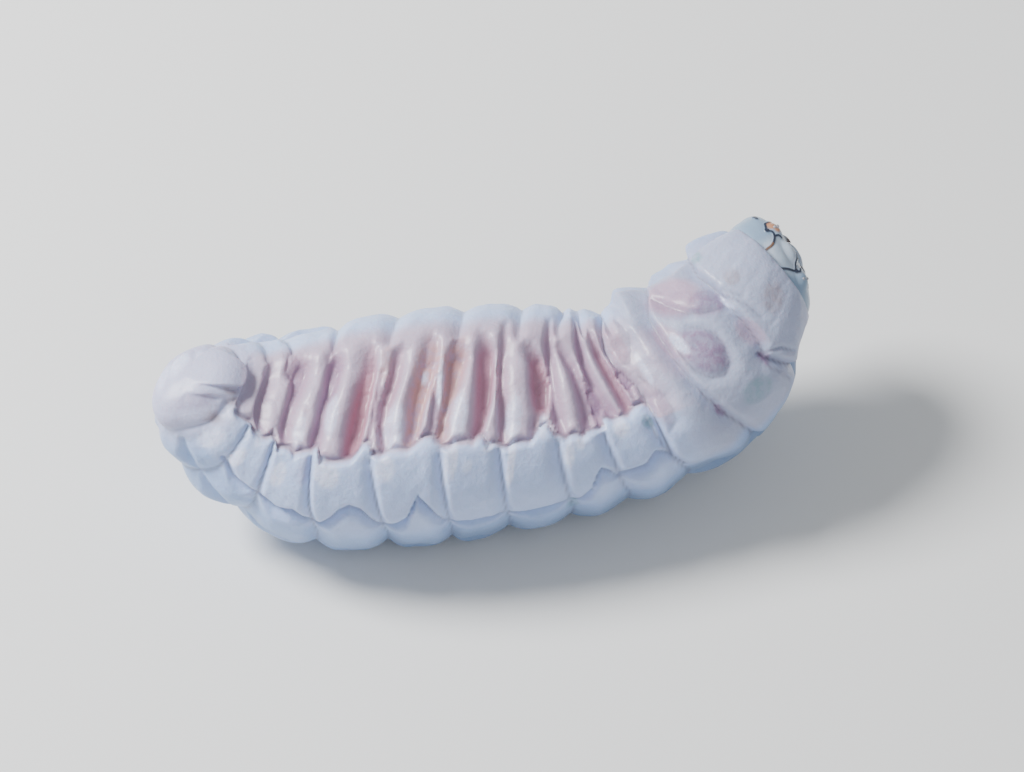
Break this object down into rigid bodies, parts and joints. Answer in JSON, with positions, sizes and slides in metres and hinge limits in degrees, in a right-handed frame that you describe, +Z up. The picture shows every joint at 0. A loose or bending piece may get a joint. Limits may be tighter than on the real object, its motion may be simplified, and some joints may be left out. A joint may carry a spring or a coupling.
{
  "type": "parasitoid wasp larva",
  "caption": "Life-size still model of a mature parasitoid wasp larva, plump and legless, lying on its back with both ends curled up.",
  "frame": {"origin": "middle of the footprint's bounding box, on the floor", "axes": "+X from the tail to the head, +Z up, -Y towards the larva's left side; the belly faces up"},
  "size_m": [0.0164, 0.008, 0.0057],
  "materials": {
    "head_capsule": "pale grey-green head skin with thin dark bars",
    "thorax_skin": "pale waxy skin with a soft gloss",
    "abdomen_skin": "pale waxy skin, pink in the belly folds"
  },
  "bodies": {
    "root": {"head": "head_capsule", "prothorax": "thorax_skin", "mesothorax": "thorax_skin", "metathorax": "thorax_skin", "abdomen_1": "abdomen_skin", "abdomen_2": "abdomen_skin", "abdomen_3": "abdomen_skin", "abdomen_4": "abdomen_skin", "abdomen_5": "abdomen_skin", "abdomen_6": "abdomen_skin", "abdomen_7": "abdomen_skin", "abdomen_8": "abdomen_skin", "abdomen_9": "abdomen_skin", "abdomen_10": "abdomen_skin"}
  },
  "joints": []
}
